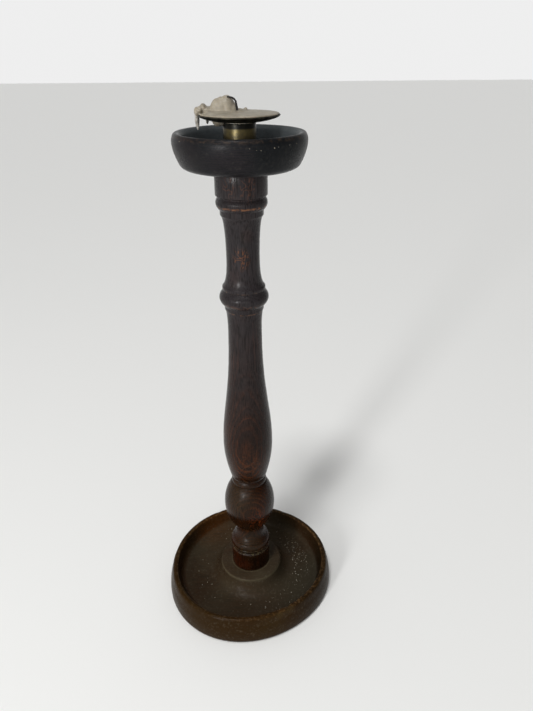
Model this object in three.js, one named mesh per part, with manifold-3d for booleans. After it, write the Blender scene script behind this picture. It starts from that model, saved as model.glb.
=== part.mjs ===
// Turned oak candlestick: a dished base tray, a one-piece turned column, a drip bowl and a
// lift-out brass nozzle that still holds a burnt candle end. Millimetres, +Z up.
// The origin is the centre of the base's underside.
import * as THREE from 'three';
import { mergeVertices } from 'three/addons/utils/BufferGeometryUtils.js';
import Module from 'manifold-3d';

const wasm = await Module();
wasm.setup();

// Clearances between pieces
const gap = 0.3; // between pieces that touch
const waxGap = 0.4; // between wax and brass

// Base tray
const baseRadius = 82.9;
const baseHeight = 28;
const floorHeight = 10;
const rimWidth = 5;
const rimLean = 4; // how far the outer wall draws in towards the rim
const bossRadius = 31.2;
const bossHeight = 26;
const moundRadius = 42;
const ovalness = 0.024; // the disc has shrunk across its grain
const ovalAngle = 22; // degrees from +X to the long way
const pearness = 0.013; // and its flanks have drawn in, so that it comes to a blunt point at +X
const trayShift = 1.9; // the rim stands off the column's centre, towards -X and towards -Y
const traySides = 40;

// Column, each length measured up from the boss
const footTenonRadius = 13;
const footTenonEnd = 1; // above the underside
const footRadius = 19.4;
const footBlock = 22.2;
const footBead = 10.4;
const footCove = 13.9;
const neckRadius = 12.1;
const ballRadius = 24.6;
const ballHalfHeight = 34.6;
const waistRadius = 15.3;
const vaseRadius = 22.9;
const vaseLength = 170;
const vaseBelly = 35; // height of its widest ring above its start
const throatRadius = 14.3;
const midBeadRadius = 20.3;
const midBeadHeight = 12.4;
const upperColumn = 58.6;
const upperRadius = 13.35;
const upperWaist = 23;
const topBeadRadius = 19.95;
const topBeadHeight = 8.8;
const drumRadius = 20.1;
const drumHeight = 18.8;
const filletHeight = 3.2;
const columnSides = 26;

// Drip bowl
const bowlRadius = 49.6;
const bowlHeight = 25.7;
const bowlFloor = 11.5;
const bowlWall = 8;
const bowlFootRadius = 36.5;
const topTenonRadius = 16;
const bowlSides = 36;

// Brass nozzle
const tubeRadius = 12;
const tubeWall = 0.9;
const tubeLength = 45;
const pocketDepth = 25;
const panRadius = 29.5;
const panRise = 3.9;
const panThickness = 1;
const nozzleFloor = 1.2;
const nozzleSides = 28;
const panSides = 36;

// Candle remains
const waxMoundHeight = 12.6;
const waxMoundX = -13.5;
const waxMoundRadius = 12.5;
const wickRadius = 0.6;
const longDripAngle = 168; // degrees from +X
const longDripWidth = 4.2;
const longDripLength = 11.4;
const shortDripAngle = 136;
const shortDripWidth = 5.6;
const shortDripLength = 10.2;

// Wedge in the foot tenon
const wedgeWidth = 20;
const wedgeLength = 15;
const wedgeThick = 3;
const wedgeTip = 1;

const sectionSteps = 3;

const oak = new THREE.MeshStandardMaterial({ color: 0x2b1a12, roughness: 0.42, metalness: 0 });
const oakWarm = new THREE.MeshStandardMaterial({ color: 0x3a2317, roughness: 0.48, metalness: 0 });
const wedgeOak = new THREE.MeshStandardMaterial({ color: 0x5a3d25, roughness: 0.6, metalness: 0 });
const brass = new THREE.MeshStandardMaterial({ color: 0x8a6c34, roughness: 0.38, metalness: 1 });
const wax = new THREE.MeshStandardMaterial({ color: 0xb9b1a4, roughness: 0.55, metalness: 0 });
const char = new THREE.MeshStandardMaterial({ color: 0x14110f, roughness: 0.9, metalness: 0 });

const group = new THREE.Group();
group.name = 'candlestick';

function addPiece(name, geometry, material) {
  const mesh = new THREE.Mesh(geometry, material);
  mesh.name = name;
  group.add(mesh);
  return mesh;
}

// Spin an outline of (radius, height) points about the upright axis.
function turn(outline, sides) {
  const geometry = new THREE.LatheGeometry(outline.getPoints(sectionSteps), sides);
  geometry.rotateX(Math.PI / 2);
  return geometry;
}

function toSolid(geometry) {
  const plain = geometry.clone();
  plain.deleteAttribute('normal');
  plain.deleteAttribute('uv');
  const merged = mergeVertices(plain, 1e-4);
  const mesh = new wasm.Mesh({
    numProp: 3,
    vertProperties: new Float32Array(merged.attributes.position.array),
    triVerts: new Uint32Array(merged.index.array),
  });
  return new wasm.Manifold(mesh);
}

function toGeometry(solid) {
  const mesh = solid.getMesh();
  const geometry = new THREE.BufferGeometry();
  geometry.setAttribute('position', new THREE.BufferAttribute(mesh.vertProperties, 3));
  geometry.setIndex(new THREE.BufferAttribute(mesh.triVerts, 1));
  geometry.computeVertexNormals();
  return geometry;
}

// Heights that several pieces share
const seat = bossHeight + gap;
const beadStart = seat + footBlock;
const coveStart = beadStart + footBead + 1.6;
const neckLevel = coveStart + footCove;
const ballCentre = neckLevel + ballHalfHeight * Math.sqrt(1 - (neckRadius / ballRadius) ** 2) + 1.2;
const ballTop = ballCentre + ballHalfHeight * Math.sqrt(1 - (waistRadius / ballRadius) ** 2);
const collarTop = ballTop + filletHeight;
const waistTop = collarTop + 4;
const vaseStart = waistTop + filletHeight;
const vaseEnd = vaseStart + vaseLength;
const midFillet = vaseEnd + filletHeight;
const midBeadStart = midFillet + 0.6;
const midBeadEnd = midBeadStart + midBeadHeight;
const upperStart = midBeadEnd + filletHeight;
const upperEnd = upperStart + upperColumn;
const topBeadStart = upperEnd + filletHeight + 1.6;
const drumStart = topBeadStart + topBeadHeight + 1.4;
const shoulder = drumStart + drumHeight;
const bowlBottom = shoulder + gap;
const bowlInside = bowlBottom + bowlFloor;
const pocketFloor = bowlInside - pocketDepth;
const tubeBottom = pocketFloor + gap;
const tubeTop = tubeBottom + tubeLength;
const panBottom = tubeTop + gap;
const tubeInside = tubeRadius - tubeWall;
const stubRadius = tubeInside - waxGap;
const stubBottom = tubeBottom + nozzleFloor + gap;
const waxLow = panBottom + panThickness + waxGap;
const stubTop = waxLow - gap;

// The tray's rings go from round at the boss to an oval, drawn in at its flanks, at the rim.
function warpDisc(geometry) {
  const spots = geometry.attributes.position;
  const longWay = THREE.MathUtils.degToRad(ovalAngle);
  for (let i = 0; i < spots.count; i += 1) {
    const radius = Math.hypot(spots.getX(i), spots.getY(i));
    const angle = Math.atan2(spots.getY(i), spots.getX(i));
    const share = THREE.MathUtils.smoothstep(radius, bossRadius - 0.6, moundRadius + 10);
    const warp = ovalness * Math.cos(2 * (angle - longWay)) + pearness * Math.cos(3 * angle);
    const x = spots.getX(i) * (1 + share * warp) - share * trayShift;
    const y = spots.getY(i) * (1 + share * warp) - share * trayShift;
    spots.setXY(i, x, y);
  }
  geometry.computeVertexNormals();
  return geometry;
}

function baseTray() {
  const hole = footTenonRadius + gap;
  const rimOut = baseRadius - rimLean;
  const rimIn = rimOut - rimWidth;
  const floorEdge = rimIn - 6;
  const outline = new THREE.Path();
  outline.moveTo(hole, 0);
  outline.lineTo(baseRadius - 3, 0);
  outline.quadraticCurveTo(baseRadius - 0.2, 0.2, baseRadius, 4);
  outline.quadraticCurveTo(baseRadius, baseHeight * 0.6, rimOut, baseHeight - 2.6);
  outline.quadraticCurveTo(rimOut - 0.3, baseHeight, rimOut - 2.4, baseHeight);
  outline.quadraticCurveTo(rimIn + 0.3, baseHeight, rimIn, baseHeight - 2);
  outline.quadraticCurveTo(rimIn - 1, floorHeight, floorEdge, floorHeight);
  outline.lineTo(moundRadius, floorHeight);
  outline.quadraticCurveTo(bossRadius + 4, floorHeight + 1, bossRadius, bossHeight - 3);
  outline.lineTo(bossRadius - 0.6, bossHeight);
  outline.lineTo(hole, bossHeight);
  outline.lineTo(hole, 0);
  return warpDisc(turn(outline, traySides));
}

function column() {
  const outline = new THREE.Path();
  outline.moveTo(0, footTenonEnd);
  outline.lineTo(footTenonRadius, footTenonEnd);
  outline.lineTo(footTenonRadius, seat);
  outline.lineTo(footRadius, seat);
  outline.lineTo(footRadius, beadStart - 1.4);
  outline.lineTo(footRadius - 1.5, beadStart);
  const beadEnd = beadStart + footBead;
  outline.quadraticCurveTo(footRadius + 1.9, beadStart + footBead / 2, footRadius - 1.5, beadEnd);
  outline.lineTo(footRadius - 2.2, beadEnd + 0.4);
  outline.lineTo(footRadius - 2.2, coveStart);
  outline.quadraticCurveTo(neckRadius + 0.3, coveStart + 0.6, neckRadius, neckLevel);
  outline.lineTo(neckRadius, neckLevel + 1.2);
  addBall(outline);
  outline.lineTo(waistRadius + 0.9, ballTop + 0.4);
  outline.lineTo(waistRadius + 0.9, collarTop);
  outline.lineTo(waistRadius, collarTop + 0.4);
  outline.lineTo(waistRadius, waistTop - 0.4);
  outline.lineTo(waistRadius + 1.1, waistTop);
  outline.lineTo(waistRadius + 1.1, vaseStart - 0.6);
  addVase(outline);
  addMidBead(outline);
  addUpperColumn(outline);
  outline.lineTo(drumRadius, drumStart);
  outline.lineTo(drumRadius, shoulder);
  outline.lineTo(topTenonRadius, shoulder);
  outline.lineTo(topTenonRadius, bowlInside - gap);
  outline.lineTo(tubeRadius + gap, bowlInside - gap);
  outline.lineTo(tubeRadius + gap, pocketFloor);
  outline.lineTo(0, pocketFloor);
  const solid = toSolid(turn(outline, columnSides));
  return toGeometry(solid.subtract(toSolid(wedgeShape(gap))));
}

function addBall(outline) {
  const start = -Math.acos(neckRadius / ballRadius);
  const end = Math.acos(waistRadius / ballRadius);
  outline.absellipse(0, ballCentre, ballRadius, ballHalfHeight, start, 0, false, 0);
  outline.absellipse(0, ballCentre, ballRadius, ballHalfHeight, 0, end, false, 0);
}

function addVase(outline) {
  const full = vaseStart + vaseBelly;
  outline.lineTo(waistRadius + 1.9, vaseStart);
  outline.quadraticCurveTo(vaseRadius + 0.1, full - 16, vaseRadius, full);
  outline.bezierCurveTo(vaseRadius, full + 38, throatRadius, vaseEnd - 76, throatRadius, vaseEnd - 16);
  outline.quadraticCurveTo(throatRadius, vaseEnd - 1, throatRadius + 2.1, vaseEnd);
}

function addMidBead(outline) {
  const edge = midBeadRadius - 3.2;
  outline.lineTo(throatRadius + 2.1, midFillet);
  outline.lineTo(edge, midBeadStart);
  outline.quadraticCurveTo(midBeadRadius + 3.2, midBeadStart + midBeadHeight * 0.5, edge, midBeadEnd);
  outline.lineTo(edge + 0.6, midBeadEnd + 0.4);
  outline.lineTo(edge + 0.6, upperStart);
}

function addUpperColumn(outline) {
  const middle = upperStart + upperWaist;
  const edge = topBeadRadius - 2;
  const beadMiddle = topBeadStart + topBeadHeight / 2;
  outline.quadraticCurveTo(upperRadius, upperStart + 2, upperRadius, middle);
  outline.quadraticCurveTo(upperRadius, upperEnd - 1, upperRadius + 3.8, upperEnd);
  outline.lineTo(upperRadius + 3.8, topBeadStart - 0.6);
  outline.lineTo(edge, topBeadStart);
  outline.quadraticCurveTo(topBeadRadius + 2, beadMiddle, edge, topBeadStart + topBeadHeight);
  outline.lineTo(edge, drumStart - 1);
}

// A tapered wedge, thick end down, across the foot tenon; spread fattens it for its slot.
function wedgeShape(spread) {
  const low = footTenonEnd - spread * 4;
  const high = footTenonEnd + wedgeLength + spread;
  const outline = new THREE.Shape();
  outline.moveTo(-wedgeThick / 2 - spread, low);
  outline.lineTo(wedgeThick / 2 + spread, low);
  outline.lineTo(wedgeTip / 2 + spread, high);
  outline.lineTo(-wedgeTip / 2 - spread, high);
  outline.closePath();
  const depth = wedgeWidth + spread * 2;
  const geometry = new THREE.ExtrudeGeometry(outline, { depth, bevelEnabled: false });
  geometry.translate(0, 0, -depth / 2);
  geometry.rotateX(Math.PI / 2);
  return geometry;
}

function dripBowl() {
  const hole = topTenonRadius + gap;
  const rim = bowlBottom + bowlHeight;
  const inner = bowlRadius - bowlWall;
  const outline = new THREE.Path();
  outline.moveTo(hole, bowlBottom);
  outline.lineTo(bowlFootRadius, bowlBottom);
  outline.quadraticCurveTo(bowlRadius - 5.5, bowlBottom + 1.5, bowlRadius - 1.5, bowlBottom + 13.2);
  outline.quadraticCurveTo(bowlRadius, bowlBottom + 17.5, bowlRadius, rim - 4.7);
  outline.quadraticCurveTo(bowlRadius - 0.2, rim, bowlRadius - 4.2, rim);
  outline.quadraticCurveTo(inner + 0.3, rim, inner, rim - 3.2);
  outline.quadraticCurveTo(inner - 1, bowlInside, inner - 6, bowlInside);
  outline.lineTo(hole, bowlInside);
  outline.lineTo(hole, bowlBottom);
  return turn(outline, bowlSides);
}

function nozzleTube() {
  const outline = new THREE.Path();
  outline.moveTo(tubeInside, tubeBottom);
  outline.lineTo(tubeRadius, tubeBottom);
  outline.lineTo(tubeRadius, tubeTop);
  outline.lineTo(tubeInside, tubeTop);
  outline.lineTo(tubeInside, tubeBottom);
  return turn(outline, nozzleSides);
}

function nozzlePan() {
  const lip = panBottom + panRise;
  const topFace = panBottom + panThickness;
  const outline = new THREE.Path();
  outline.moveTo(tubeInside, panBottom);
  outline.lineTo(tubeRadius + 1, panBottom);
  outline.quadraticCurveTo(panRadius - 9, panBottom + 0.6, panRadius, lip);
  outline.lineTo(panRadius - 0.3, lip + panThickness);
  outline.quadraticCurveTo(panRadius - 9, topFace + 0.8, tubeRadius + 1, topFace);
  outline.lineTo(tubeInside, topFace);
  outline.lineTo(tubeInside, panBottom);
  return turn(outline, panSides);
}

function disc(radius, bottom, top) {
  const outline = new THREE.Path();
  outline.moveTo(0, bottom);
  outline.lineTo(radius, bottom);
  outline.lineTo(radius, top);
  outline.lineTo(0, top);
  return turn(outline, nozzleSides);
}

// The wax lies in the pan, a little over its lip, with a slumped mound on the -X side.
function waxSpill() {
  const lip = panBottom + panRise + panThickness;
  const outline = new THREE.Path();
  outline.moveTo(0, waxLow);
  outline.lineTo(tubeRadius + 1, waxLow);
  outline.quadraticCurveTo(panRadius - 9, waxLow + 1, panRadius - 1.4, lip + waxGap);
  outline.lineTo(panRadius - 0.6, lip + 1);
  outline.quadraticCurveTo(panRadius - 4, lip + 2, panRadius - 12, lip + 2.2);
  outline.lineTo(0, lip + 2.2);
  const film = toSolid(turn(outline, 32));
  const lump = new THREE.SphereGeometry(1, 20, 10);
  lump.rotateX(Math.PI / 2);
  lump.scale(waxMoundRadius, waxMoundRadius * 0.72, waxMoundHeight);
  lump.translate(waxMoundX, 0, lip + 0.6);
  const slice = new THREE.BoxGeometry(panRadius * 4, panRadius * 4, waxMoundHeight * 2);
  slice.translate(0, 0, lip + waxGap + waxMoundHeight);
  return toGeometry(film.add(toSolid(lump).intersect(toSolid(slice))));
}

// The wick starts just above the wax and leans over towards -X.
function wickCord() {
  const foot = panBottom + panRise + panThickness + 2.2 + gap;
  const path = new THREE.CatmullRomCurve3([
    new THREE.Vector3(-0.4, -3, foot),
    new THREE.Vector3(-0.6, -3, foot + 4.5),
    new THREE.Vector3(-2.4, -3, foot + 7.8),
    new THREE.Vector3(-6.2, -3, foot + 10),
  ]);
  const section = new THREE.Shape();
  section.absarc(0, 0, wickRadius, 0, Math.PI * 2, false);
  return new THREE.ExtrudeGeometry(section, { steps: 10, curveSegments: 8, extrudePath: path });
}

// A run of wax that has set over the pan's edge: fat at the top and drawn to a tip below.
function waxDrip(angle, width, length) {
  const top = panBottom + panRise + panThickness + 0.6;
  const out = panRadius + waxGap + width / 2;
  const outline = new THREE.Path();
  outline.moveTo(0, top - length);
  outline.quadraticCurveTo(width * 0.3, top - length, width * 0.34, top - length * 0.75);
  outline.quadraticCurveTo(width / 2, top - length * 0.4, width / 2, top - 1.2);
  outline.lineTo(width * 0.3, top);
  outline.lineTo(0, top);
  const geometry = turn(outline, 12);
  const turned = THREE.MathUtils.degToRad(angle);
  geometry.translate(out * Math.cos(turned), out * Math.sin(turned), 0);
  return geometry;
}

addPiece('base_tray', baseTray(), oakWarm);
addPiece('stem', column(), oak);
addPiece('foot_wedge', wedgeShape(0), wedgeOak);
addPiece('drip_bowl', dripBowl(), oak);
addPiece('nozzle_tube', nozzleTube(), brass);
addPiece('nozzle_pan', nozzlePan(), brass);
addPiece('nozzle_floor', disc(tubeInside - gap, tubeBottom, tubeBottom + nozzleFloor), brass);
addPiece('candle_stub', disc(stubRadius, stubBottom, stubTop), wax);
addPiece('wax_spill', waxSpill(), wax);
addPiece('wick', wickCord(), char);
addPiece('wax_drip_long', waxDrip(longDripAngle, longDripWidth, longDripLength), wax);
addPiece('wax_drip_short', waxDrip(shortDripAngle, shortDripWidth, shortDripLength), wax);

export default group;
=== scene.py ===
import bpy
import bmesh
import math
import random
from mathutils import Matrix, Vector, noise


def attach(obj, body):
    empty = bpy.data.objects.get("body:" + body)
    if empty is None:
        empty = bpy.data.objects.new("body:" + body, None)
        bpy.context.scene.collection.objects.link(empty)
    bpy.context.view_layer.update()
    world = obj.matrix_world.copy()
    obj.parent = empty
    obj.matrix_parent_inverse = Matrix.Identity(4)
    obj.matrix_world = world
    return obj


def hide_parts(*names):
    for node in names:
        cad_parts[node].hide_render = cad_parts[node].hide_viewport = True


# A turned oak candlestick with a brass nozzle and the end of a candle.
mm = 0.001
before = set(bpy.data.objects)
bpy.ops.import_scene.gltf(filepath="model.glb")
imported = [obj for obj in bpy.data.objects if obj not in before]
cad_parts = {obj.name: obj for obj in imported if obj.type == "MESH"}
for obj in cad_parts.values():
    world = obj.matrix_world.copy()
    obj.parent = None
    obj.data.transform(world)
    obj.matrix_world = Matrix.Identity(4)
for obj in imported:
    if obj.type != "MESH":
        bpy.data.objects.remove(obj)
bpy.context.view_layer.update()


def toLinear(hexText):
    channels = [int(hexText[i:i + 2], 16) / 255 for i in (1, 3, 5)]
    linear = [c / 12.92 if c <= 0.04045 else ((c + 0.055) / 1.055) ** 2.4 for c in channels]
    return (*linear, 1.0)


def addNode(mat, kind, inputs=None, stops=(), **settings):
    # an input is a socket to link, a hex colour or a plain value; stops are for a ramp of greys
    node = mat.node_tree.nodes.new(kind)
    for name, value in settings.items():
        setattr(node, name, value)
    for name, value in (inputs or {}).items():
        socket = node.inputs[name]
        if isinstance(value, bpy.types.NodeSocket):
            mat.node_tree.links.new(value, socket)
        else:
            socket.default_value = toLinear(value) if isinstance(value, str) else value
    for i, (place, grey) in enumerate(stops):
        ramp = node.color_ramp.elements
        element = ramp[i] if i < len(ramp) else ramp.new(place)
        element.position = place
        element.color = (grey, grey, grey, 1)
    return node


def newMaterial(name, values):
    mat = bpy.data.materials.new(name)
    mat.use_nodes = True
    shader = mat.node_tree.nodes["Principled BSDF"]
    for socket, value in values.items():
        shader.inputs[socket].default_value = value
    return mat, shader


def link(mat, source, target):
    mat.node_tree.links.new(source, target)


# one solid grain runs through each turned piece, so the figure changes as the piece swells
oakLook = {
    "pithBehind": 58,      # mm from the turning axis to the middle of the tree, at the back
    "ringSpacing": 1.7,    # mm between growth rings
    "curlSize": 5.0,       # mm across the curls of figure round a knot
    "poreWidth": 0.4,      # mm across an open pore, drawn coarse enough to show
    "poreLength": 9.0,     # mm along the grain
}


def layOver(mat, colour, layers):
    # each layer is a colour with its share, the product of one or more factors
    for factors, tone in layers:
        share = factors[0]
        for factor in factors[1:]:
            share = addNode(mat, "ShaderNodeMath", {0: share, 1: factor}, operation="MULTIPLY").outputs[0]
        mix = addNode(mat, "ShaderNodeMix", {0: share, 6: colour, 7: tone}, data_type="RGBA")
        colour = mix.outputs[2]
    return colour


def makeOak(name, look):
    # stained oak, turned and waxed: near-black, orange-brown growth rings, open pores, a soft wax shine
    mat, shader = newMaterial(name, {"IOR": 1.5, "Specular IOR Level": look["shine"]})
    coords = addNode(mat, "ShaderNodeTexCoord").outputs["Object"]
    lay = addNode(mat, "ShaderNodeMapping", {"Vector": coords, "Rotation": look["grainTurn"]})
    wobble = addNode(mat, "ShaderNodeTexNoise", {"Vector": lay.outputs[0], "Scale": 22.0, "Detail": 3.0})
    shift = addNode(mat, "ShaderNodeVectorMath", {0: wobble.outputs["Color"], 1: (0.5, 0.5, 0.5)},
                    operation="SUBTRACT")
    shiftSmall = addNode(mat, "ShaderNodeVectorMath", {0: shift.outputs[0], 1: (0.005, 0.005, 0.02)},
                         operation="MULTIPLY")
    bent = addNode(mat, "ShaderNodeVectorMath", {0: lay.outputs[0], 1: shiftSmall.outputs[0]})
    offset = addNode(mat, "ShaderNodeVectorMath",
                     {0: bent.outputs[0], 1: (look["pithSide"] * mm, -oakLook["pithBehind"] * mm, 0)})
    rings = addNode(mat, "ShaderNodeTexWave",
                    {"Vector": offset.outputs[0], "Scale": 2 * math.pi / 20 / (oakLook["ringSpacing"] * mm),
                     "Distortion": 0.9, "Detail": 2.0, "Detail Scale": 1.4, "Detail Roughness": 0.5},
                    wave_type="RINGS", rings_direction="Z", wave_profile="SAW")
    wide, long = 1 / (oakLook["poreWidth"] * mm), 1 / (oakLook["poreLength"] * mm)
    poreLay = addNode(mat, "ShaderNodeVectorMath", {0: bent.outputs[0], 1: (wide, wide, long)},
                      operation="MULTIPLY")
    pores = addNode(mat, "ShaderNodeTexNoise", {"Vector": poreLay.outputs[0], "Scale": 0.6, "Detail": 2.0})
    poreMask = addNode(mat, "ShaderNodeValToRGB", {"Fac": pores.outputs["Fac"]},
                       [(0.36, look.get("poreFill", 0.0)), (0.52, 1.0)]).outputs["Color"]
    openPore = addNode(mat, "ShaderNodeMath", {0: 1.0, 1: poreMask}, operation="SUBTRACT").outputs[0]
    patches = addNode(mat, "ShaderNodeTexNoise", {"Vector": coords, "Scale": look["patchScale"],
                                                   "Detail": 5.0, "Roughness": 0.62}).outputs["Fac"]
    ringMask = addNode(mat, "ShaderNodeValToRGB", {"Fac": rings.outputs["Fac"]},
                       [(0.0, 0.0), (0.45, 0.08), (0.8, 0.6), (0.95, 1.0), (1.0, 0.05)]).outputs["Color"]
    patchMask = addNode(mat, "ShaderNodeValToRGB", {"Fac": patches},
                        [(0.4, 0.1), (0.64, 1.0)]).outputs["Color"]
    patchSpread = addNode(mat, "ShaderNodeValToRGB", {"Fac": patches},
                          [(0.32, 0.0), (0.68, 1.0)]).outputs["Color"]
    layers = [([patchSpread], look["mid"]), ([ringMask, patchMask, look["figure"]], look["warm"])]
    height = addNode(mat, "ShaderNodeSeparateXYZ", {0: coords}).outputs[2]
    # painted reflection: bands of colour by height, used to lay the sky's cool grey reflection onto the
    # upper column
    for low, high, amount, tone in look["paintedReflectionTones"]:
        share = addNode(mat, "ShaderNodeMapRange", {"Value": height, "From Min": low * mm,
                                                     "From Max": high * mm, "To Max": amount}).outputs[0]
        layers.append(([share], tone))
    ragged = addNode(mat, "ShaderNodeValToRGB", {"Fac": patches},
                     [(0.34, 0.35), (0.58, 1.0)]).outputs["Color"]
    # round patches: real stains, and also painted shade and painted light where a side is darkened or
    # lightened by how the light falls
    for middle, reach, amount, tone in look.get("stainsAndPaintedShading", []):
        out = addNode(mat, "ShaderNodeVectorMath", {0: coords, 1: Vector(middle) * mm},
                      operation="DISTANCE").outputs["Value"]
        near = addNode(mat, "ShaderNodeMapRange", {"Value": out, "From Min": reach * 0.35 * mm,
                                                    "From Max": reach * mm, "To Min": amount,
                                                    "To Max": 0.0}).outputs[0]
        layers.append(([near, ragged], tone))
    for middle, reach, amount, tone in look.get("knots", []):
        about = addNode(mat, "ShaderNodeVectorMath", {0: bent.outputs[0], 1: Vector(middle) * mm},
                        operation="SUBTRACT").outputs[0]
        about = addNode(mat, "ShaderNodeVectorMath", {0: about, 1: (1.0, 0.4, 0.62)},
                        operation="MULTIPLY").outputs[0]
        out = addNode(mat, "ShaderNodeVectorMath", {0: about}, operation="LENGTH").outputs["Value"]
        near = addNode(mat, "ShaderNodeMapRange", {"Value": out, "From Min": reach * 0.45 * mm,
                                                    "From Max": reach * mm, "To Min": amount,
                                                    "To Max": 0.0}).outputs[0]
        curl = addNode(mat, "ShaderNodeTexNoise", {"Vector": about, "Scale": 1 / (oakLook["curlSize"] * mm),
                                                    "Detail": 1.0}).outputs["Fac"]
        lines = addNode(mat, "ShaderNodeValToRGB", {"Fac": curl},
                        [(0.40, 0.0), (0.43, 1.0), (0.46, 0.0), (0.53, 0.0), (0.56, 1.0), (0.59, 0.0)])
        layers.append(([near, lines.outputs["Color"]], tone))
    layers.append(([openPore], look["pore"]))
    fleck = addNode(mat, "ShaderNodeTexNoise", {"Vector": coords, "Scale": 420.0, "Detail": 3.0,
                                                 "Roughness": 0.7}).outputs["Fac"]
    rubbed = addNode(mat, "ShaderNodeValToRGB", {"Fac": fleck}, [(0.47, 0.0), (0.6, 1.0)]).outputs["Color"]
    flat = addNode(mat, "ShaderNodeVectorMath", {0: coords, 1: (1, 1, 0)}, operation="MULTIPLY").outputs[0]
    radius = addNode(mat, "ShaderNodeVectorMath", {0: flat}, operation="LENGTH").outputs["Value"]
    bands = [(height, band, [rubbed]) for band in look["wear"]]
    bands += [(radius, band, []) for band in look.get("rings", [])]
    for across, (middle, half, amount, tone), broken in bands:
        away = addNode(mat, "ShaderNodeMath", {0: across, 1: middle * mm}, operation="SUBTRACT").outputs[0]
        away = addNode(mat, "ShaderNodeMath", {0: away}, operation="ABSOLUTE").outputs[0]
        near = addNode(mat, "ShaderNodeMapRange", {"Value": away, "From Min": half * 0.3 * mm,
                                                    "From Max": half * mm, "To Min": amount,
                                                    "To Max": 0.0}).outputs[0]
        layers.append(([near] + broken, tone))
    settled = addNode(mat, "ShaderNodeValToRGB", {"Fac": patches},
                      [(0.3, 0.35), (0.6, 1.0)]).outputs["Color"]
    for outer, low, amount, tone in look.get("hollows", []):
        within = addNode(mat, "ShaderNodeMapRange", {"Value": radius, "From Min": (outer - 1.5) * mm,
                                                      "From Max": outer * mm, "To Min": amount,
                                                      "To Max": 0.0}).outputs[0]
        above = addNode(mat, "ShaderNodeMapRange", {"Value": height, "From Min": (low - 1) * mm,
                                                     "From Max": low * mm}).outputs[0]
        layers.append(([within, above, settled], tone))
    dust = addNode(mat, "ShaderNodeValToRGB", {"Fac": fleck}, [(0.55, 0.0), (0.75, 1.0)]).outputs["Color"]
    layers.append(([dust, look["dust"]], "#8d8676"))
    colour = layOver(mat, look["dark"], layers)
    link(mat, colour, shader.inputs["Base Color"])
    sheen = addNode(mat, "ShaderNodeMapRange",
                    {"Value": patches, "From Min": 0.3, "From Max": 0.7,
                     "To Min": look["rough"][0], "To Max": look["rough"][1]})
    link(mat, sheen.outputs[0], shader.inputs["Roughness"])
    bump = addNode(mat, "ShaderNodeBump", {"Height": poreMask, "Strength": 0.4, "Distance": 0.25 * mm})
    link(mat, bump.outputs[0], shader.inputs["Normal"])
    return mat


def makeBrass(name, clean, tarnish, share, roughness, panShadeBand=None):
    # old brass, spun and soldered: olive-yellow metal under brown tarnish, with a dull polish
    mat, shader = newMaterial(name, {"Metallic": 1.0})
    coords = addNode(mat, "ShaderNodeTexCoord").outputs["Object"]
    spots = addNode(mat, "ShaderNodeTexNoise", {"Vector": coords, "Scale": 190.0, "Detail": 5.0,
                                                 "Roughness": 0.62})
    mask = addNode(mat, "ShaderNodeValToRGB", {"Fac": spots.outputs["Fac"]},
                   [(share[0], 0.0), (share[1], 1.0)]).outputs["Color"]
    layers = [([mask], tarnish)]
    # painted shade: an optional dark band from a height upwards stands in for the shadow and reflection of
    # the pan's dark underside on the tube
    if panShadeBand:
        height = addNode(mat, "ShaderNodeSeparateXYZ", {0: coords}).outputs[2]
        above = addNode(mat, "ShaderNodeMapRange", {"Value": height, "From Min": (panShadeBand[0] - 0.4) * mm,
                                                     "From Max": (panShadeBand[0] + 0.4) * mm, "To Max": 0.9})
        layers.append(([above.outputs[0]], panShadeBand[1]))
    link(mat, layOver(mat, clean, layers), shader.inputs["Base Color"])
    rough = addNode(mat, "ShaderNodeMapRange", {"Value": spots.outputs["Fac"], "From Min": 0.3,
                                                 "From Max": 0.7, "To Min": roughness[0],
                                                 "To Max": roughness[1]})
    link(mat, rough.outputs[0], shader.inputs["Roughness"])
    fine = addNode(mat, "ShaderNodeVectorMath", {0: coords, 1: (300, 300, 5200)}, operation="MULTIPLY")
    lines = addNode(mat, "ShaderNodeTexNoise", {"Vector": fine.outputs[0], "Scale": 1.0, "Detail": 1.0})
    bump = addNode(mat, "ShaderNodeBump", {"Height": lines.outputs["Fac"], "Strength": 0.12,
                                            "Distance": 0.1 * mm})
    link(mat, bump.outputs[0], shader.inputs["Normal"])
    return mat


def makeWax(name, pale, dusty, roughness=0.46):
    # paraffin wax, melted and set: soft light goes into it, and its top holds grey dust
    mat, shader = newMaterial(name, {"IOR": 1.44, "Subsurface Weight": 0.35, "Subsurface Scale": 1.6 * mm,
                                     "Subsurface Radius": (1.0, 0.8, 0.6), "Roughness": roughness})
    coords = addNode(mat, "ShaderNodeTexCoord").outputs["Object"]
    dust = addNode(mat, "ShaderNodeTexNoise", {"Vector": coords, "Scale": 160.0, "Detail": 6.0,
                                                "Roughness": 0.65})
    mask = addNode(mat, "ShaderNodeValToRGB", {"Fac": dust.outputs["Fac"]},
                   [(0.38, 0.0), (0.62, 1.0)]).outputs["Color"]
    link(mat, layOver(mat, dusty, [([mask], pale)]), shader.inputs["Base Color"])
    lumps = addNode(mat, "ShaderNodeTexNoise", {"Vector": coords, "Scale": 420.0, "Detail": 3.0})
    bump = addNode(mat, "ShaderNodeBump", {"Height": lumps.outputs["Fac"], "Strength": 0.25,
                                            "Distance": 0.3 * mm})
    link(mat, bump.outputs[0], shader.inputs["Normal"])
    return mat


def makeChar(name):
    # charred cotton: crumbly black
    mat, shader = newMaterial(name, {"Roughness": 0.85})
    coords = addNode(mat, "ShaderNodeTexCoord").outputs["Object"]
    soot = addNode(mat, "ShaderNodeTexNoise", {"Vector": coords, "Scale": 900.0, "Detail": 2.0})
    link(mat, layOver(mat, "#060505", [([soot.outputs["Fac"]], "#1d1917")]), shader.inputs["Base Color"])
    return mat
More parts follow.
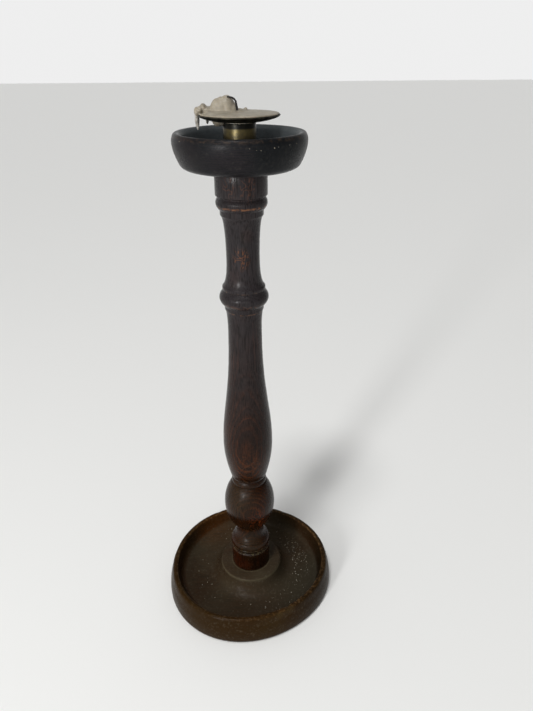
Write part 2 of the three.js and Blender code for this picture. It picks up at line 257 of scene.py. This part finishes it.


# paintedReflectionTones, painted cool reflection by height: low, high, share, colour. wear: height, half
# width, share, colour. rings: the same by radius.
# hollows: outer radius, lowest height, share, colour. stainsAndPaintedShading, stains with painted shade
# and painted light, and knots: middle, reach, share, colour.
columnLook = {
    "dark": "#140802", "mid": "#261104", "warm": "#5f2f0e", "pore": "#080402", "figure": 0.42,
    "grainTurn": (0, 0, 0), "pithSide": 2.0, "patchScale": 30.0, "shine": 0.12, "rough": (0.17, 0.28),
    # painted reflection: the cool grey from 150 to 330 mm stands in for the sky reflected on the upper
    # column
    "poreFill": 0.3, "paintedReflectionTones": [(150, 330, 0.86, "#2d2a2c")], "dust": 0.03,
    "wear": [(398.6, 1.2, 0.6, "#85583a"), (320.0, 2.4, 0.35, "#5f4030"), (331.2, 1.0, 0.4, "#5e483a"),
             (312.6, 0.8, 0.5, "#6b4a34"), (48.0, 0.9, 0.6, "#5a5238"), (53.1, 0.7, 0.5, "#4d452c"),
             (141.0, 0.8, 0.4, "#4d4030")],
    # painted shade: the near-black patches at +X on the foot, the ball and the vase darken the right side,
    # away from the light. Painted light: the olive patch at the ball's upper left lightens its lit side.
    "stainsAndPaintedShading": [((-14, -16, 122), 26, 0.6, "#2d2416"), ((0, -20, 60), 22, 0.5, "#2b2416"),
               ((14, -18, 35), 17, 0.75, "#0c0502"), ((-12, -14, 36), 16, 0.5, "#3a1408"),
               ((24, -4, 104), 26, 0.6, "#170802"), ((22, -8, 190), 40, 0.6, "#120703"),
               ((5, -18, 376), 9, 0.4, "#4a3026"), ((-10, -16, 344), 10, 0.35, "#45302a")],
    "knots": [((-1, -13.4, 359), 8.0, 0.65, "#7a4b2d"), ((9, -21.9, 99), 12.0, 0.45, "#7a3412"),
              ((11, -20.5, 97), 8.0, 0.7, "#1d0903"), ((4, -22, 165), 16.0, 0.22, "#6f3d1c"),
              ((5, -19.4, 415), 7.5, 0.45, "#6d4530"), ((-9, -17.8, 417), 6.5, 0.35, "#6d4530")],
}
# the bowl's cool grey dark and mid colours are partly the near-black wood and partly painted cool
# reflection of the sky
bowlLook = {
    "dark": "#0e1012", "mid": "#181a1d", "warm": "#33261f", "pore": "#0a0b0c", "figure": 0.3,
    "grainTurn": (0, math.pi / 2, 0.2), "pithSide": 20.0, "patchScale": 24.0, "shine": 0.1,
    "rough": (0.24, 0.4), "poreFill": 0.45, "paintedReflectionTones": [], "dust": 0.05,
    "wear": [(449.6, 1.6, 0.2, "#5a4636")],
    "stainsAndPaintedShading": [((-40, -30, 438), 24, 0.5, "#241a1c"), ((-6, -48, 434), 22, 0.4, "#211a1e")],
    "hollows": [(46.5, 436.6, 0.85, "#4a4f51")],
}
baseLook = {
    "dark": "#2c190b", "mid": "#35291a", "warm": "#4a2a12", "pore": "#140c05", "figure": 0.12,
    "grainTurn": (0, math.pi / 2, 0.9), "pithSide": 10.0, "patchScale": 13.0, "shine": 0.05,
    "rough": (0.22, 0.4), "poreFill": 0.4, "paintedReflectionTones": [], "dust": 0.12,
    "wear": [(27.4, 1.0, 0.5, "#6a4b26"), (1.5, 2.0, 0.4, "#4d371a")],
    "rings": [(86.0, 15.0, 0.85, "#261804"), (31.0, 0.5, 0.5, "#5c5440"), (20.2, 0.7, 0.4, "#5c5440")],
    "hollows": [(71.0, 9.0, 0.5, "#3d382c")],
    # painted shade: the first, wide near-black patch at +X darkens the right side of the base, away from
    # the light
    "stainsAndPaintedShading": [((92, -24, 8), 88, 0.95, "#0a0401"), ((-46, 58, 14), 34, 0.75, "#4b2a0f"),
               ((8, -58, 12), 46, 0.92, "#2b1307"), ((40, -20, 8), 30, 0.4, "#2c2419"),
               ((0, 66, 14), 30, 0.6, "#1b1109"), ((20, -82, 12), 26, 0.6, "#3f3115"),
               ((-30, -78, 10), 24, 0.5, "#33241a"), ((40, -70, 28), 9, 0.45, "#5d5034"),
               ((30, -74, 26), 6, 0.4, "#5d5034"), ((12, -24, 30), 14, 0.35, "#4b4434")],
}
wedgeLook = {
    "dark": "#4a3220", "mid": "#6a4a30", "warm": "#8a643f", "pore": "#2d1d10", "figure": 0.6,
    "grainTurn": (0, 0, 0), "pithSide": 0.0, "patchScale": 60.0, "shine": 0.2, "rough": (0.6, 0.75),
    "paintedReflectionTones": [], "dust": 0.1, "wear": [],
}
columnOak = makeOak("waxedOakColumn", columnLook)
bowlOak = makeOak("waxedOakBowl", bowlLook)
baseOak = makeOak("waxedOakBase", baseLook)
wedgeOak = makeOak("bareOakWedge", wedgeLook)
# painted shade: the tube's top above 453.4 mm is painted dark as the pan's shadow and reflection
tubeBrass = makeBrass("agedBrassTube", "#5f5538", "#443f33", (0.4, 0.66), (0.3, 0.42), (453.4, "#17191b"))
panBrass = makeBrass("tarnishedBrassPan", "#4f4b40", "#24231f", (0.36, 0.6), (0.4, 0.6))
spiltWax = makeWax("spiltParaffin", "#a09786", "#877f70")
dripWax = makeWax("drippedParaffin", "#bcb7ad", "#98938a", 0.36)
candleWax = makeWax("candleParaffin", "#ded6c4", "#c4baa6", 0.4)
burntWick = makeChar("charredCotton")
print("materials made")


def drawOutline(keys, steps):
    # a key of two numbers is a straight run, four a curve with one handle, six a curve with two
    points = [Vector(keys[0])]
    for key in keys[1:]:
        start = points[-1]
        if len(key) == 2:
            points.append(Vector(key))
            continue
        for i in range(1, steps + 1):
            t = i / steps
            if len(key) == 4:
                handle, end = Vector(key[:2]), Vector(key[2:])
                points.append((1 - t) ** 2 * start + 2 * t * (1 - t) * handle + t * t * end)
            else:
                first, second, end = Vector(key[:2]), Vector(key[2:4]), Vector(key[4:])
                points.append((1 - t) ** 3 * start + 3 * t * (1 - t) ** 2 * first
                              + 3 * t * t * (1 - t) * second + t ** 3 * end)
    return points


def turnPiece(name, keys, material, sides, steps=6, closed=False, edgeRadius=0.0, sharp=32):
    points = drawOutline(keys, steps)
    bm = bmesh.new()
    verts = [bm.verts.new((p.x * mm, 0, p.y * mm)) for p in points]
    edges = [bm.edges.new(pair) for pair in zip(verts, verts[1:])]
    if closed:
        edges.append(bm.edges.new((verts[-1], verts[0])))
    bmesh.ops.spin(bm, geom=verts + edges, cent=(0, 0, 0), axis=(0, 0, 1), angle=2 * math.pi,
                   steps=sides, use_merge=True)
    bmesh.ops.remove_doubles(bm, verts=bm.verts, dist=1e-6)
    bmesh.ops.recalc_face_normals(bm, faces=bm.faces)
    if edgeRadius:
        corners = [e for e in bm.edges if len(e.link_faces) == 2
                   and e.calc_face_angle() > math.radians(sharp)
                   and max(v.co.xy.length for v in e.verts) > 1e-4]
        bmesh.ops.bevel(bm, geom=corners, offset=edgeRadius * mm, affect="EDGES", segments=2,
                        profile=0.5, material=-1)
    return finishMesh(name, bm, material)


def finishMesh(name, bm, material, smoothAngle=38):
    mesh = bpy.data.meshes.new(name)
    bm.to_mesh(mesh)
    bm.free()
    mesh.materials.append(material)
    mesh.polygons.foreach_set("use_smooth", [True] * len(mesh.polygons))
    mesh.set_sharp_from_angle(angle=math.radians(smoothAngle))
    piece = bpy.data.objects.new(name, mesh)
    bpy.context.scene.collection.objects.link(piece)
    return piece


def pinTo(piece, body, slot, *nodes):
    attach(piece, body)
    if nodes:
        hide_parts(*nodes)


base = {
    "floor": 10.0, "hole": 13.3, "rimTop": 28.0, "bossTop": 26.0, "sides": 160,
    "trueTo": 30.6, "warpedFrom": 52.0,  # mm from the axis: round inside, fully warped outside
    "oval": 0.024, "ovalAngle": 22.0,  # the disc has shrunk across its grain
    "pear": 0.013,                     # and comes to a blunt point at +X
    "shift": 1.9,                      # mm that the rim stands off, towards -X and -Y
}


def warpDisc(bm, b):
    inner, outer = b["trueTo"] * mm, b["warpedFrom"] * mm
    for v in bm.verts:
        radius, angle = v.co.xy.length, math.atan2(v.co.y, v.co.x)
        share = min(max((radius - inner) / (outer - inner), 0), 1)
        share = share * share * (3 - 2 * share)
        oval = b["oval"] * math.cos(2 * (angle - math.radians(b["ovalAngle"])))
        warp = oval + b["pear"] * math.cos(3 * angle)
        v.co.x = v.co.x * (1 + share * warp) - share * b["shift"] * mm
        v.co.y = v.co.y * (1 + share * warp) - share * b["shift"] * mm


def makeBase():
    b = base
    keys = [(b["hole"], 0), (60, 0), (79.4, 0), (82.6, 0.1, 82.9, 4.0), (83.0, 13, 80.8, 20),
            (80.0, 24.5, 79.2, 26.2), (78.4, 28, 76.4, b["rimTop"]), (74.4, 28, 74.0, 26.2),
            (73.4, 21, 72.4, 16), (71.0, 10.2, 65.4, b["floor"]), (44, b["floor"]),
            (36.5, 10.6, 33.2, 18), (31.7, 22, 31.3, 23.4), (31.2, 25.8, 29.8, b["bossTop"]),
            (b["hole"], b["bossTop"])]
    points = drawOutline(keys, 7)
    bm = bmesh.new()
    verts = [bm.verts.new((p.x * mm, 0, p.y * mm)) for p in points]
    edges = [bm.edges.new(pair) for pair in zip(verts, verts[1:])]
    edges.append(bm.edges.new((verts[-1], verts[0])))
    bmesh.ops.spin(bm, geom=verts + edges, cent=(0, 0, 0), axis=(0, 0, 1), angle=2 * math.pi,
                   steps=b["sides"], use_merge=True)
    bmesh.ops.remove_doubles(bm, verts=bm.verts, dist=1e-6)
    bmesh.ops.recalc_face_normals(bm, faces=bm.faces)
    wearRim(bm)
    warpDisc(bm, b)
    return finishMesh("base_tray_turned", bm, baseOak)


rim = {"low": 20.0, "inner": 68.0, "ripple": 0.12, "rippleScale": 90}
rimWear = [  # angle in degrees, half width in degrees, depth in mm
    (-58, 5.0, 1.3), (-50, 2.2, 0.9), (-66, 2.0, 0.6), (-30, 3.0, 0.5), (-122, 4.0, 0.5),
    (170, 5.0, 0.5), (60, 6.0, 0.6), (118, 3.0, 0.7),
]


def wearRim(bm):
    # knocks on the rim: small hollows pressed in from above
    for v in bm.verts:
        if v.co.z < rim["low"] * mm or v.co.xy.length < rim["inner"] * mm:
            continue
        angle = math.degrees(math.atan2(v.co.y, v.co.x))
        for place, half, depth in rimWear:
            away = abs((angle - place + 180) % 360 - 180) / half
            if away < 1:
                v.co.z -= depth * mm * (1 - away * away) ** 2
        v.co.z += rim["ripple"] * mm * noise.noise(v.co * rim["rippleScale"])


baseTurned = makeBase()
pinTo(baseTurned, "stand", "base_oak", "base_tray")

stem = {"sides": 112, "seat": 26.3, "shoulder": 425.1, "tenonTop": 436.5, "pocketFloor": 411.84,
        "ballRadius": 24.6, "ballHalfHeight": 34.6, "ballMiddle": 105.4, "ballSteps": 18,
        "ballNeck": 12.1, "ballTop": 16.6,      # radii where the ball meets what is under and over it
        "kerf": (3.5, 20.5, 17.3), "kerfTip": 0.42}


def sawKerf(piece, size, tip):
    # the tenon is sawn up the middle from below, to take the wedge
    bm = bmesh.new()
    place = Matrix.Translation((0, 0, (size[2] / 2 - 1) * mm))
    bmesh.ops.create_cube(bm, size=1, matrix=place @ Matrix.Diagonal([s * mm for s in size] + [1]))
    for v in bm.verts:
        if v.co.z > 0:
            v.co.x *= tip
    cutter = finishMesh("kerfCutter", bm, columnOak)
    cut = piece.modifiers.new("kerf", "BOOLEAN")
    cut.operation, cut.solver, cut.object = "DIFFERENCE", "EXACT", cutter
    done = bpy.data.meshes.new_from_object(piece.evaluated_get(bpy.context.evaluated_depsgraph_get()))
    piece.modifiers.clear()
    bpy.data.objects.remove(cutter)
    piece.data = done
    return piece


def makeStem():
    s = stem
    ball, half, centre = s["ballRadius"], s["ballHalfHeight"], s["ballMiddle"]
    points = [(0, 1), (13, 1), (13, s["seat"]), (18.8, s["seat"]), (19.4, 26.4, 19.4, 27.2),
              (19.4, 46.4), (19.3, 47.6, 18.2, 48.0), (17.8, 48.6), (18.2, 49.2),
              (19.6, 50.4, 19.8, 52.6), (19.2, 53.1), (19.8, 53.6), (19.9, 56.2, 18.4, 59.0), (17.8, 59.4),
              (17.9, 60.6), (12.7, 64.0, 12.1, 74.2),
              (12.1, 75.0)]
    low, high = -math.acos(s["ballNeck"] / ball), math.acos(s["ballTop"] / ball)
    for i in range(s["ballSteps"] + 1):
        turn = low + (high - low) * i / s["ballSteps"]
        points.append((ball * math.cos(turn), centre + half * math.sin(turn)))
    points += [(15.8, 131.4), (16.0, 131.8), (17.6, 134.2, 15.6, 137.2), (15.2, 137.8),
               (15.3, 138.6), (16.5, 139.2), (16.6, 141.0), (17.3, 141.6), (22.9, 162, 22.9, 178.2),
               (22.9, 214, 14.3, 232, 14.3, 294), (14.3, 309, 15.9, 313.2), (16.2, 313.4),
               (16.2, 316.4), (16.6, 317.0), (23.9, 323.6, 17.0, 330.2), (17.2, 330.6),
               (17.6, 331.0), (17.6, 333.2), (13.5, 336.6, 13.35, 355.6), (13.35, 389, 16.9, 391.2),
               (17.0, 391.6), (17.0, 395.2), (17.9, 395.8), (21.9, 400.4, 18.4, 404.6), (18.2, 405.0),
               (18.6, 405.6), (20.0, 406.2), (20.1, 406.6), (20.1, s["shoulder"]),
               (16, s["shoulder"]), (16, s["tenonTop"]), (12.3, s["tenonTop"]),
               (12.3, s["pocketFloor"]), (0, s["pocketFloor"])]
    turned = turnPiece("stem_turned", points, columnOak, s["sides"], steps=10, edgeRadius=0.22, sharp=40)
    return sawKerf(turned, s["kerf"], s["kerfTip"])


stemTurned = makeStem()
pinTo(stemTurned, "stand", "column_oak", "stem")

bowl = {"sides": 128, "hole": 16.3, "bottom": 425.4, "inside": 436.9}


def makeBowl():
    b = bowl
    keys = [(b["hole"], b["bottom"]), (36, b["bottom"]), (42.6, 425.6, 44.9, 429.4),
            (48.7, 437.0, 49.4, 442.4), (49.9, 446.4, 49.0, 448.6), (48.2, 451.1, 46.2, 451.1),
            (43.8, 450.9, 42.3, 448.2), (41.2, 444, 40.4, 440.4), (39.6, 437, 35.4, b["inside"]),
            (b["hole"], b["inside"])]
    return turnPiece("drip_bowl_turned", keys, bowlOak, b["sides"], steps=8, closed=True)


bowlTurned = makeBowl()
pinTo(bowlTurned, "stand", "bowl_oak", "drip_bowl")
print("oak pieces turned")

nozzle = {"sides": 96, "tubeBottom": 412.2, "tubeTop": 457.0, "panBottom": 457.5}


def makeTube():
    n = nozzle
    keys = [(11.1, n["tubeBottom"]), (12, n["tubeBottom"]), (12, n["tubeTop"]), (11.1, n["tubeTop"])]
    return turnPiece("nozzle_tube_brass", keys, tubeBrass, n["sides"], closed=True, edgeRadius=0.15)


def makePan():
    low = nozzle["panBottom"]
    keys = [(11.1, low), (12.8, low), (20, low + 0.5, 26.6, low + 2.6), (28.8, low + 3.4, 29.4, low + 4.1),
            (29.7, low + 4.7, 29.1, low + 4.8), (27.8, low + 3.8, 26.0, low + 3.2),
            (20, low + 1.4, 13, low + 0.9), (11.1, low + 0.9)]
    return turnPiece("nozzle_pan_brass", keys, panBrass, nozzle["sides"], steps=6, closed=True)


pinTo(makeTube(), "nozzle", "tube_brass", "nozzle_tube")
pinTo(makePan(), "nozzle", "pan_brass", "nozzle_pan")

wax = {"voxel": 0.45, "ease": 6, "dripVoxel": 0.22, "dripEase": 5, "sides": 72}


def addLump(bm, place, size, tilt=0.0):
    turn = Matrix.Translation(Vector(place) * mm) @ Matrix.Rotation(math.radians(tilt), 4, "Y")
    bmesh.ops.create_icosphere(bm, subdivisions=4, radius=1.0,
                               matrix=turn @ Matrix.Diagonal((*[s * mm for s in size], 1)))


def meldWax(name, bm, voxel, smooth, material):
    # one skin over all the lumps, then eased as melted wax is
    mesh = bpy.data.meshes.new(name + "Raw")
    bm.to_mesh(mesh)
    bm.free()
    raw = bpy.data.objects.new(name + "Raw", mesh)
    bpy.context.scene.collection.objects.link(raw)
    remesh = raw.modifiers.new("skin", "REMESH")
    remesh.mode = "VOXEL"
    remesh.voxel_size = voxel * mm
    ease = raw.modifiers.new("ease", "SMOOTH")
    ease.factor = 0.5
    ease.iterations = smooth
    depsgraph = bpy.context.evaluated_depsgraph_get()
    done = bpy.data.meshes.new_from_object(raw.evaluated_get(depsgraph))
    bpy.data.objects.remove(raw)
    final = bmesh.new()
    final.from_mesh(done)
    bpy.data.meshes.remove(done)
    return finishMesh(name, final, material, smoothAngle=80)


def makeSpill():
    bm = bmesh.new()
    lip = nozzle["panBottom"] + 4.8
    film = drawOutline([(0, 458.6), (13, 458.6), (20, 459.0, 26.4, lip - 1.0), (28.6, lip + 0.2),
                        (29.2, lip + 0.7, 28.0, lip + 1.0), (20, lip + 1.6, 10, lip + 2.0),
                        (0, lip + 2.0)], 6)
    verts = [bm.verts.new((p.x * mm, 0, p.y * mm)) for p in film]
    edges = [bm.edges.new(pair) for pair in zip(verts, verts[1:])]
    bmesh.ops.spin(bm, geom=verts + edges, cent=(0, 0, 0), axis=(0, 0, 1), angle=2 * math.pi,
                   steps=wax["sides"], use_merge=True)
    bmesh.ops.remove_doubles(bm, verts=bm.verts, dist=1e-6)
    bmesh.ops.recalc_face_normals(bm, faces=bm.faces)
    for place, size, tilt in waxLumps:
        addLump(bm, place, size, tilt)
    return meldWax("wax_spill_set", bm, wax["voxel"], wax["ease"], spiltWax)


waxLumps = [  # middle, half sizes, tilt: the slumped candle end and the folds round it
    ((-15.4, 0, 463.6), (5.6, 8.0, 9.4), 0), ((-12.2, 0, 464.4), (6.8, 8.4, 9.6), 0),
    ((-8.8, 0, 465.0), (6.4, 8.0, 10.0), 0), ((-4.6, 0.5, 464.8), (4.2, 7.0, 5.6), 0),
    ((-24.8, 1, 466.4), (2.2, 6.0, 3.6), -30), ((-27.6, 0, 465.6), (3.2, 6.6, 2.4), -44),
    ((-21.4, 1, 465.0), (4.6, 7.0, 2.8), 0),
    ((-29.6, -1, 464.2), (2.3, 6.0, 3.4), -14), ((-20.4, -1, 463.6), (5.2, 8.0, 2.2), 10),
    ((-13, -7, 463.2), (11.5, 11.0, 2.0), 0), ((2, 3, 463.4), (6.5, 9.0, 2.3), 12),
    ((4.5, 6, 464.6), (1.4, 2.6, 2.0), 0), ((9, 5, 462.8), (12, 12, 1.5), 4),
    ((14, -2, 462.8), (9, 9, 1.2), -3), ((-10, 10, 463.0), (14, 9, 2.2), 0),
    ((-18, 0, 463.4), (7.0, 9.0, 2.6), 0),
]

pinTo(makeSpill(), "candle", "spilt_wax", "wax_spill")


def makeDrip(name, angle, lumps, node):
    bm = bmesh.new()
    side = Matrix.Rotation(math.radians(angle), 4, "Z")
    for out, height, size in lumps:
        addLump(bm, side @ Vector((drips["reach"] + out, 0, height)), size)
    piece = meldWax(name, bm, wax["dripVoxel"], wax["dripEase"], dripWax)
    pinTo(piece, "candle", "spilt_wax", node)


drips = {"reach": 30.3, "longAngle": 168, "shortAngle": 142}

# each lump of a run: mm past the reach, height, half sizes
longDrip = [(-1.0, 463.2, (2.4, 3.2, 1.6)), (1.2, 460.8, (1.8, 3.0, 3.2)), (1.3, 458.0, (1.8, 3.0, 2.6)),
            (1.2, 455.6, (1.5, 1.9, 2.6)), (1.0, 453.6, (1.0, 1.2, 2.2)), (1.0, 452.3, (0.8, 0.9, 1.0))]
shortDrip = [(-0.8, 463.2, (2.4, 3.0, 1.6)), (0.8, 460.6, (1.3, 2.2, 3.4)), (1.0, 457.2, (1.3, 3.4, 2.2)),
             (1.0, 455.6, (1.0, 3.0, 1.5))]
makeDrip("wax_drip_long_set", drips["longAngle"], longDrip, "wax_drip_long")
makeDrip("wax_drip_short_set", drips["shortAngle"], shortDrip, "wax_drip_short")


wick = {
    "radius": 0.78, "taper": 0.06, "crumble": 0.12, "crumbleScale": 1600,
    "route": [(-1.5, -4.2, 465.3), (-1.5, -4.2, 468.4), (-1.9, -4.2, 471.2), (-3.4, -4.1, 473.0),
              (-5.6, -3.9, 473.9), (-8.0, -3.8, 474.0)],
}


def makeWick():
    # a charred cord that stands in front of the dome and bends over its top
    route = wick["route"]
    curve = bpy.data.curves.new("wickRoute", "CURVE")
    curve.dimensions = "3D"
    curve.bevel_depth = wick["radius"] * mm
    curve.bevel_resolution = 4
    curve.use_fill_caps = True
    spline = curve.splines.new("NURBS")
    spline.points.add(len(route) - 1)
    spline.use_endpoint_u = True
    spline.order_u = 4
    spline.resolution_u = 8
    for i, (point, place) in enumerate(zip(spline.points, route)):
        point.co = (*[c * mm for c in place], 1)
        point.radius = 1.0 - wick["taper"] * i
    raw = bpy.data.objects.new("wickRoute", curve)
    bpy.context.scene.collection.objects.link(raw)
    mesh = bpy.data.meshes.new_from_object(raw.evaluated_get(bpy.context.evaluated_depsgraph_get()))
    bpy.data.objects.remove(raw)
    bm = bmesh.new()
    bm.from_mesh(mesh)
    bpy.data.meshes.remove(mesh)
    bmesh.ops.remove_doubles(bm, verts=bm.verts, dist=1e-6)
    bmesh.ops.recalc_face_normals(bm, faces=bm.faces)
    for v in bm.verts:
        v.co += v.normal * wick["crumble"] * mm * noise.noise(v.co * wick["crumbleScale"])
    return finishMesh("wick_charred", bm, burntWick, 60)


pinTo(makeWick(), "candle", "burnt_wick", "wick")
print("wax set")


specks = {
    "seed": 11, "count": 190, "strayEvery": 5, "bigEvery": 31, "bigger": 1.6,
    "heapAngle": 12, "heapSpread": 30, "strayAngles": (60, 300), "radii": (44.5, 62),
    "sizes": (0.16, 0.2, 0.24, 0.3, 0.36, 0.5), "bowlRadius": 49.45, "bowlDepth": 0.3,
}


def makeSpecks():
    # flecks of wax that fell in the tray, most of them on its right side
    s = specks
    chance = random.Random(s["seed"])
    bm = bmesh.new()
    for i in range(s["count"]):
        stray = i % s["strayEvery"] == 0
        heap = (s["heapAngle"], s["heapSpread"])
        angle = math.radians(chance.uniform(*s["strayAngles"]) if stray else chance.gauss(*heap))
        radius = chance.uniform(*s["radii"])
        size = chance.choice(s["sizes"]) * (s["bigger"] if i % s["bigEvery"] == 0 else 1)
        low = base["floor"] + size * 0.2
        place = Vector((radius * math.cos(angle), radius * math.sin(angle), low)) * mm
        scale = Matrix.Diagonal((size * mm, size * mm * chance.uniform(0.8, 1.25), size * 0.45 * mm, 1))
        bmesh.ops.create_icosphere(bm, subdivisions=1, radius=1.0,
                                   matrix=Matrix.Translation(place) @ scale)
    piece = finishMesh("wax_specks_in_tray", bm, spiltWax, 60)
    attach(piece, "stand")


bowlSpecks = [  # angle, height and half size
    (-80.4, 445.6, 0.3), (-75.2, 444.4, 0.25), (-71.6, 444.2, 0.3), (-60.3, 445.2, 0.5),
    (-56.8, 445.6, 0.25), (-45.3, 446.0, 0.32), (-36.8, 446.2, 0.36), (-144.0, 448.0, 0.35),
]


def makeBowlSpecks():
    # a few spots of wax that ran no further than the bowl's side
    bm = bmesh.new()
    for angle, height, size in bowlSpecks:
        side = Matrix.Rotation(math.radians(angle), 4, "Z")
        place = side @ Matrix.Translation((specks["bowlRadius"] * mm, 0, height * mm))
        scale = Matrix.Diagonal((specks["bowlDepth"] * mm, size * mm, size * 0.8 * mm, 1))
        bmesh.ops.create_icosphere(bm, subdivisions=1, radius=1.0, matrix=place @ scale)
    piece = finishMesh("wax_specks_on_bowl", bm, spiltWax, 60)
    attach(piece, "stand")


makeBowlSpecks()
makeSpecks()

# these pieces keep their plain solid
for node, material in (("foot_wedge", wedgeOak), ("nozzle_floor", panBrass), ("candle_stub", candleWax)):
    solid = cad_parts[node]
    solid.data.materials.clear()
    solid.data.materials.append(material)
print("kept solids coloured")

studio = {
    "skyStrength": 0.36, "horizonStrength": 0.86,  # the room is brightest behind the paper's far edge
    "glowBand": (0.1, 0.4),  # how far up the sky the glow fades
    "sunStrength": 1.4, "sunSpread": 14.0, "sunPlace": (-0.3, -0.6, 1.5),
    "windowPower": 13, "windowSize": (0.18, 0.5), "windowPlace": (-0.75, -1.3, 0.62),
    "windowAim": (0, 0, 0.2),
    "darkSide": 0.4, "dimBand": (0.4, 0.85),  # the room is dim on the right
    "floorReach": 12, "floorDrop": 0.5 * mm
}
view = {"away": 442.5, "side": 18.1, "height": 501.0, "pitch": 27.78, "roll": -0.45,
        "lens": 38.83677, "sensor": 36}


def makeFloor():
    bm = bmesh.new()
    bmesh.ops.create_grid(bm, x_segments=1, y_segments=1, size=studio["floorReach"])
    mat, shader = newMaterial("paleStudioPaper", {"Roughness": 0.9, "Base Color": toLinear("#eeeeec"),
                                                  "Specular IOR Level": 0.1})
    floor = finishMesh("studioFloor", bm, mat)
    floor.location.z = -studio["floorDrop"]


def addWindow(name, power, size, place, aim):
    data = bpy.data.lights.new(name, "AREA")
    data.energy = power
    data.shape = "RECTANGLE"
    data.size, data.size_y = size
    lamp = bpy.data.objects.new(name, data)
    bpy.context.scene.collection.objects.link(lamp)
    lamp.location = place
    lamp.rotation_euler = (Vector(aim) - Vector(place)).to_track_quat("-Z", "Y").to_euler()


def addSun(name, strength, spread, source):
    data = bpy.data.lights.new(name, "SUN")
    data.energy = strength
    data.angle = math.radians(spread)
    lamp = bpy.data.objects.new(name, data)
    bpy.context.scene.collection.objects.link(lamp)
    lamp.rotation_euler = (-Vector(source)).to_track_quat("-Z", "Y").to_euler()


makeFloor()
addSun("overheadLight", studio["sunStrength"], studio["sunSpread"], studio["sunPlace"])
addWindow("windowLight", studio["windowPower"], studio["windowSize"], studio["windowPlace"],
          studio["windowAim"])
world = bpy.data.worlds.new("studioWorld")
world.use_nodes = True
sky = world.node_tree.nodes["Background"]
direction = addNode(world, "ShaderNodeTexCoord").outputs["Generated"]
upward = addNode(world, "ShaderNodeSeparateXYZ", {0: direction}).outputs[2]
glow = addNode(world, "ShaderNodeMapRange", {"Value": upward, "From Min": studio["glowBand"][0],
                                              "From Max": studio["glowBand"][1],
                                              "To Min": studio["horizonStrength"],
                                              "To Max": studio["skyStrength"]}).outputs[0]
across = addNode(world, "ShaderNodeSeparateXYZ", {0: direction}).outputs[0]
dim = addNode(world, "ShaderNodeMapRange", {"Value": across, "From Min": studio["dimBand"][0],
                                             "From Max": studio["dimBand"][1],
                                             "To Min": 1.0, "To Max": studio["darkSide"]}).outputs[0]
strength = addNode(world, "ShaderNodeMath", {0: glow, 1: dim}, operation="MULTIPLY").outputs[0]
link(world, strength, sky.inputs["Strength"])
sky.inputs["Color"].default_value = (1, 1, 1, 1)
bpy.context.scene.world = world
bpy.context.scene.view_settings.view_transform = "Standard"

lens = bpy.data.cameras.new("viewCamera")
lens.sensor_fit = "HORIZONTAL"
lens.sensor_width = view["sensor"]
lens.lens = view["lens"]
camera = bpy.data.objects.new("viewCamera", lens)
bpy.context.scene.collection.objects.link(camera)
camera.matrix_world = (Matrix.Translation((view["side"] * mm, -view["away"] * mm, view["height"] * mm))
                       @ Matrix.Rotation(math.radians(90 - view["pitch"]), 4, "X")
                       @ Matrix.Rotation(math.radians(view["roll"]), 4, "Z"))
bpy.context.scene.camera = camera

print("scene ready")
